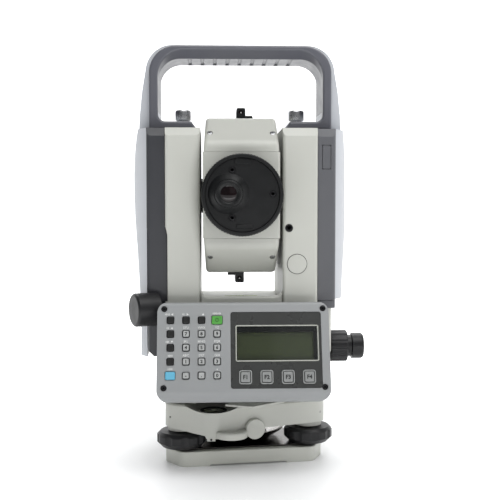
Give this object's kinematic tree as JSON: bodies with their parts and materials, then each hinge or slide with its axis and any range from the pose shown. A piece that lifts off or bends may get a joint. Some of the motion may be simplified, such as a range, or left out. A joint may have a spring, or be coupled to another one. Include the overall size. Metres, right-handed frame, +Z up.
{
  "type": "surveying total station",
  "caption": "Surveying total station with a keypad and display panel, tilting telescope between two standards, side battery, carrying handle and three-screw tribrach.",
  "frame": {"origin": "mouth of the tripod thread, in the plane of the tribrach feet, on the vertical axis", "axes": "+Z up along the vertical axis, -Y towards the keypad and display, +X towards the battery"},
  "size_m": [0.1914, 0.1655, 0.336],
  "materials": {
    "light_paint": "fine-textured warm light grey paint",
    "light_shell": "satin moulded",
    "dark_shell": "fine spark-eroded texture",
    "black_knob": "satin moulded",
    "black_optics": "black anodised look",
    "spring_steel": "polished",
    "axle_steel": "ground",
    "bright_screw": "knurled",
    "panel_grey": "satin moulded",
    "window_charcoal": "semi-gloss",
    "level_vial": "black anodised",
    "circle_glass": "polished",
    "key_black": "matt",
    "key_light": "matt",
    "key_green": "matt",
    "key_blue": "matt"
  },
  "bodies": {
    "tribrach": {"base_plate": "light_paint", "spring_plate": "spring_steel", "tribrach_body": "light_paint", "circular_level": "level_vial", "base_flange": "light_paint"},
    "foot_screw_left": {"foot_screw_left": "black_knob"},
    "foot_screw_right": {"foot_screw_right": "black_knob"},
    "foot_screw_rear": {"foot_screw_rear": "black_knob"},
    "tribrach_clamp": {"tribrach_clamp": "light_paint"},
    "alidade": {"vertical_spindle": "axle_steel", "lower_housing": "light_paint", "yoke_frame": "light_paint", "plate_level": "level_vial", "left_side_cover": "dark_shell", "left_outer_cover": "light_shell", "panel_case": "panel_grey", "display_window": "window_charcoal"},
    "battery": {"battery_case": "dark_shell", "battery_cover": "light_shell"},
    "battery_latch": {"battery_latch": "dark_shell"},
    "handle": {"handle_core": "light_shell", "handle_grip": "dark_shell"},
    "handle_screw_left": {"handle_screw_left": "bright_screw"},
    "handle_screw_right": {"handle_screw_right": "bright_screw"},
    "telescope": {"telescope_body": "light_paint", "telescope_top_cover": "light_paint", "telescope_bottom_cover": "light_paint", "telescope_tube": "black_optics", "trunnion_axle": "axle_steel", "vertical_circle": "circle_glass", "sights": "black_optics"},
    "focusing_ring": {"focusing_ring": "black_optics"},
    "eyepiece": {"eyepiece": "black_optics"},
    "tangent_knob": {"tangent_knob": "black_knob"},
    "plummet_focus_ring": {"plummet_focus_ring": "black_knob"},
    "plummet_eyepiece": {"plummet_eyepiece": "black_knob"},
    "key_r1c1": {"key_r1c1": "key_black"},
    "key_r1c2": {"key_r1c2": "key_black"},
    "key_r1c3": {"key_r1c3": "key_black"},
    "key_r1c4": {"key_r1c4": "key_green"},
    "key_r2c1": {"key_r2c1": "key_black"},
    "key_r2c2": {"key_r2c2": "key_light"},
    "key_r2c3": {"key_r2c3": "key_light"},
    "key_r2c4": {"key_r2c4": "key_light"},
    "key_r3c1": {"key_r3c1": "key_black"},
    "key_r3c2": {"key_r3c2": "key_light"},
    "key_r3c3": {"key_r3c3": "key_light"},
    "key_r3c4": {"key_r3c4": "key_light"},
    "key_r4c1": {"key_r4c1": "key_black"},
    "key_r4c2": {"key_r4c2": "key_light"},
    "key_r4c3": {"key_r4c3": "key_light"},
    "key_r4c4": {"key_r4c4": "key_light"},
    "key_r5c1": {"key_r5c1": "key_blue"},
    "key_r5c2": {"key_r5c2": "key_light"},
    "key_r5c3": {"key_r5c3": "key_light"},
    "key_r5c4": {"key_r5c4": "key_light"},
    "key_f1": {"key_f1": "key_light"},
    "key_f2": {"key_f2": "key_light"},
    "key_f3": {"key_f3": "key_light"},
    "key_f4": {"key_f4": "key_light"}
  },
  "joints": [
    {"name": "alidade_turn", "type": "hinge", "parent": "tribrach", "child": "alidade", "pos_m": [0, 0, 0.06], "axis": [0, 0, 1], "continuous": true},
    {"name": "telescope_tilt", "type": "hinge", "parent": "alidade", "child": "telescope", "pos_m": [0, 0, 0.2145], "axis": [1, 0, 0], "continuous": true},
    {"name": "foot_screw_left_turn", "type": "hinge", "parent": "tribrach", "child": "foot_screw_left", "pos_m": [-0.04792, -0.03611, 0.02], "axis": [0, 0, 1], "continuous": true},
    {"name": "foot_screw_right_turn", "type": "hinge", "parent": "tribrach", "child": "foot_screw_right", "pos_m": [0.05523, -0.02344, 0.02], "axis": [0, 0, 1], "continuous": true},
    {"name": "foot_screw_rear_turn", "type": "hinge", "parent": "tribrach", "child": "foot_screw_rear", "pos_m": [-0.00731, 0.05955, 0.02], "axis": [0, 0, 1], "continuous": true},
    {"name": "tribrach_clamp_turn", "type": "hinge", "parent": "tribrach", "child": "tribrach_clamp", "pos_m": [0.0095, -0.053, 0.0313], "axis": [0.3256, -0.9455, 0], "range_deg": [0, 180]},
    {"name": "battery_slide", "type": "slide", "parent": "alidade", "child": "battery", "axis": [1, 0, 0], "range_m": [0, 0.03]},
    {"name": "battery_latch_press", "type": "slide", "parent": "battery", "child": "battery_latch", "axis": [0, 1, 0], "range_m": [0, 0.0015], "stiffness_N_per_m": 500},
    {"name": "handle_lift", "type": "slide", "parent": "alidade", "child": "handle", "axis": [0, 0, 1], "range_m": [0, 0.02]},
    {"name": "handle_screw_left_turn", "type": "hinge", "parent": "handle", "child": "handle_screw_left", "pos_m": [-0.047, 0, 0.27], "axis": [0, 0, 1], "continuous": true},
    {"name": "handle_screw_right_turn", "type": "hinge", "parent": "handle", "child": "handle_screw_right", "pos_m": [0.047, 0, 0.27], "axis": [0, 0, 1], "continuous": true},
    {"name": "focus_turn", "type": "hinge", "parent": "telescope", "child": "focusing_ring", "pos_m": [0, -0.06, 0.2145], "axis": [0, 1, 0], "range_deg": [-135, 135]},
    {"name": "eyepiece_turn", "type": "hinge", "parent": "telescope", "child": "eyepiece", "pos_m": [-0.0107, -0.07, 0.2154], "axis": [0, 1, 0], "range_deg": [-120, 120]},
    {"name": "tangent_turn", "type": "hinge", "parent": "alidade", "child": "tangent_knob", "pos_m": [-0.067, -0.049, 0.1256], "axis": [-0.9063, -0.4226, 0], "continuous": true},
    {"name": "plummet_focus_turn", "type": "hinge", "parent": "alidade", "child": "plummet_focus_ring", "pos_m": [0.08, -0.01, 0.0894], "axis": [1, 0, 0], "range_deg": [-120, 120]},
    {"name": "plummet_eyepiece_turn", "type": "hinge", "parent": "alidade", "child": "plummet_eyepiece", "pos_m": [0.095, -0.01, 0.0894], "axis": [1, 0, 0], "range_deg": [-120, 120]},
    {"name": "key_r1c1_press", "type": "slide", "parent": "alidade", "child": "key_r1c1", "axis": [0, 0.9554, -0.2952], "range_m": [0, 0.001], "stiffness_N_per_m": 400},
    {"name": "key_r1c2_press", "type": "slide", "parent": "alidade", "child": "key_r1c2", "axis": [0, 0.9554, -0.2952], "range_m": [0, 0.001], "stiffness_N_per_m": 400},
    {"name": "key_r1c3_press", "type": "slide", "parent": "alidade", "child": "key_r1c3", "axis": [0, 0.9554, -0.2952], "range_m": [0, 0.001], "stiffness_N_per_m": 400},
    {"name": "key_r1c4_press", "type": "slide", "parent": "alidade", "child": "key_r1c4", "axis": [0, 0.9554, -0.2952], "range_m": [0, 0.001], "stiffness_N_per_m": 400},
    {"name": "key_r2c1_press", "type": "slide", "parent": "alidade", "child": "key_r2c1", "axis": [0, 0.9554, -0.2952], "range_m": [0, 0.001], "stiffness_N_per_m": 400},
    {"name": "key_r2c2_press", "type": "slide", "parent": "alidade", "child": "key_r2c2", "axis": [0, 0.9554, -0.2952], "range_m": [0, 0.001], "stiffness_N_per_m": 400},
    {"name": "key_r2c3_press", "type": "slide", "parent": "alidade", "child": "key_r2c3", "axis": [0, 0.9554, -0.2952], "range_m": [0, 0.001], "stiffness_N_per_m": 400},
    {"name": "key_r2c4_press", "type": "slide", "parent": "alidade", "child": "key_r2c4", "axis": [0, 0.9554, -0.2952], "range_m": [0, 0.001], "stiffness_N_per_m": 400},
    {"name": "key_r3c1_press", "type": "slide", "parent": "alidade", "child": "key_r3c1", "axis": [0, 0.9554, -0.2952], "range_m": [0, 0.001], "stiffness_N_per_m": 400},
    {"name": "key_r3c2_press", "type": "slide", "parent": "alidade", "child": "key_r3c2", "axis": [0, 0.9554, -0.2952], "range_m": [0, 0.001], "stiffness_N_per_m": 400},
    {"name": "key_r3c3_press", "type": "slide", "parent": "alidade", "child": "key_r3c3", "axis": [0, 0.9554, -0.2952], "range_m": [0, 0.001], "stiffness_N_per_m": 400},
    {"name": "key_r3c4_press", "type": "slide", "parent": "alidade", "child": "key_r3c4", "axis": [0, 0.9554, -0.2952], "range_m": [0, 0.001], "stiffness_N_per_m": 400},
    {"name": "key_r4c1_press", "type": "slide", "parent": "alidade", "child": "key_r4c1", "axis": [0, 0.9554, -0.2952], "range_m": [0, 0.001], "stiffness_N_per_m": 400},
    {"name": "key_r4c2_press", "type": "slide", "parent": "alidade", "child": "key_r4c2", "axis": [0, 0.9554, -0.2952], "range_m": [0, 0.001], "stiffness_N_per_m": 400},
    {"name": "key_r4c3_press", "type": "slide", "parent": "alidade", "child": "key_r4c3", "axis": [0, 0.9554, -0.2952], "range_m": [0, 0.001], "stiffness_N_per_m": 400},
    {"name": "key_r4c4_press", "type": "slide", "parent": "alidade", "child": "key_r4c4", "axis": [0, 0.9554, -0.2952], "range_m": [0, 0.001], "stiffness_N_per_m": 400},
    {"name": "key_r5c1_press", "type": "slide", "parent": "alidade", "child": "key_r5c1", "axis": [0, 0.9554, -0.2952], "range_m": [0, 0.001], "stiffness_N_per_m": 400},
    {"name": "key_r5c2_press", "type": "slide", "parent": "alidade", "child": "key_r5c2", "axis": [0, 0.9554, -0.2952], "range_m": [0, 0.001], "stiffness_N_per_m": 400},
    {"name": "key_r5c3_press", "type": "slide", "parent": "alidade", "child": "key_r5c3", "axis": [0, 0.9554, -0.2952], "range_m": [0, 0.001], "stiffness_N_per_m": 400},
    {"name": "key_r5c4_press", "type": "slide", "parent": "alidade", "child": "key_r5c4", "axis": [0, 0.9554, -0.2952], "range_m": [0, 0.001], "stiffness_N_per_m": 400},
    {"name": "key_f1_press", "type": "slide", "parent": "alidade", "child": "key_f1", "axis": [0, 0.9554, -0.2952], "range_m": [0, 0.001], "stiffness_N_per_m": 400},
    {"name": "key_f2_press", "type": "slide", "parent": "alidade", "child": "key_f2", "axis": [0, 0.9554, -0.2952], "range_m": [0, 0.001], "stiffness_N_per_m": 400},
    {"name": "key_f3_press", "type": "slide", "parent": "alidade", "child": "key_f3", "axis": [0, 0.9554, -0.2952], "range_m": [0, 0.001], "stiffness_N_per_m": 400},
    {"name": "key_f4_press", "type": "slide", "parent": "alidade", "child": "key_f4", "axis": [0, 0.9554, -0.2952], "range_m": [0, 0.001], "stiffness_N_per_m": 400}
  ]
}
